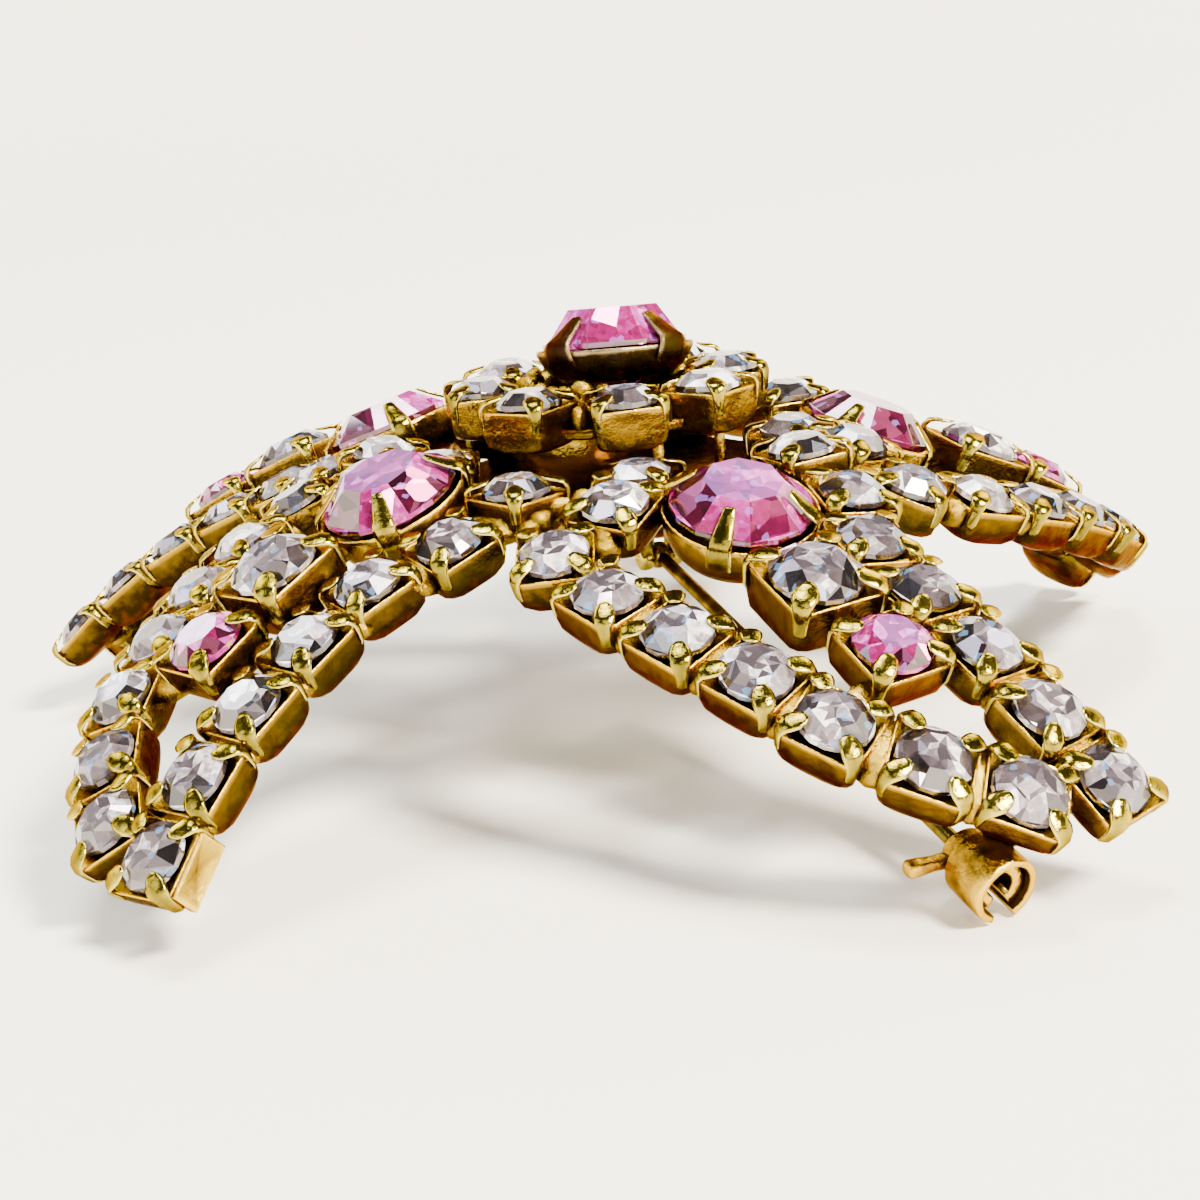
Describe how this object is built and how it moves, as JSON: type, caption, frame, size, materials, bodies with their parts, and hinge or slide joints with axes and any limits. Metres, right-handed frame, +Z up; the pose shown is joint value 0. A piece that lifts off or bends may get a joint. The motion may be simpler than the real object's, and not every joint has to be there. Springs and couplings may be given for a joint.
{
  "type": "starburst brooch",
  "caption": "Domed starburst brooch with five looped petals of box-set lavender and pink stones, a raised rosette and a hinged dress pin with a turning catch.",
  "frame": {"origin": "bottom centre of the bounding box, on the surface the brooch rests on", "axes": "+Z up out of the surface, through the top stone; -Y towards the front pair of petals; +X to the right seen from the front"},
  "size_m": [0.0613, 0.0628, 0.0218],
  "materials": {
    "gilt_metal": "polished, tarnished in the recesses",
    "tarnished_metal": "tarnished",
    "lavender_glass": "cut and foil-backed",
    "pink_glass": "cut and foil-backed"
  },
  "bodies": {
    "brooch": {"petal_setting_front_right": "gilt_metal", "petal_setting_right": "gilt_metal", "petal_setting_back": "gilt_metal", "petal_setting_left": "gilt_metal", "petal_setting_front_left": "gilt_metal", "strand_stones_front_right": "lavender_glass", "strand_stones_right": "lavender_glass", "strand_stones_back": "lavender_glass", "strand_stones_left": "lavender_glass", "strand_stones_front_left": "lavender_glass", "large_pink_front_right": "pink_glass", "large_pink_right": "pink_glass", "large_pink_back": "pink_glass", "large_pink_left": "pink_glass", "large_pink_front_left": "pink_glass", "middle_lavender_front_right": "lavender_glass", "middle_lavender_right": "lavender_glass", "middle_lavender_back": "lavender_glass", "middle_lavender_left": "lavender_glass", "middle_lavender_front_left": "lavender_glass", "small_pink_front_right": "pink_glass", "small_pink_right": "pink_glass", "small_pink_back": "pink_glass", "small_pink_left": "pink_glass", "small_pink_front_left": "pink_glass", "rosette_setting": "gilt_metal", "top_setting": "tarnished_metal", "top_stone": "pink_glass", "rosette_stone_1": "lavender_glass", "rosette_stone_2": "lavender_glass", "rosette_stone_3": "lavender_glass", "rosette_stone_4": "lavender_glass", "rosette_stone_5": "lavender_glass", "rosette_stone_6": "lavender_glass", "rosette_stone_7": "lavender_glass", "rosette_stone_8": "lavender_glass", "pin_hinge": "gilt_metal", "catch_housing": "gilt_metal"},
    "pin": {"pin_stem": "gilt_metal"},
    "sleeve": {"catch_sleeve": "gilt_metal"}
  },
  "joints": [
    {"name": "pin_swing", "type": "hinge", "parent": "brooch", "child": "pin", "pos_m": [0.0035, 0.0015, 0.0077], "axis": [0.9341, 0.3571, 0], "range_deg": [0, 65]},
    {"name": "catch_turn", "type": "hinge", "parent": "brooch", "child": "sleeve", "pos_m": [0.0152, -0.0291, 0.0016], "axis": [0.3511, -0.9183, -0.1831], "range_deg": [0, 110]}
  ]
}
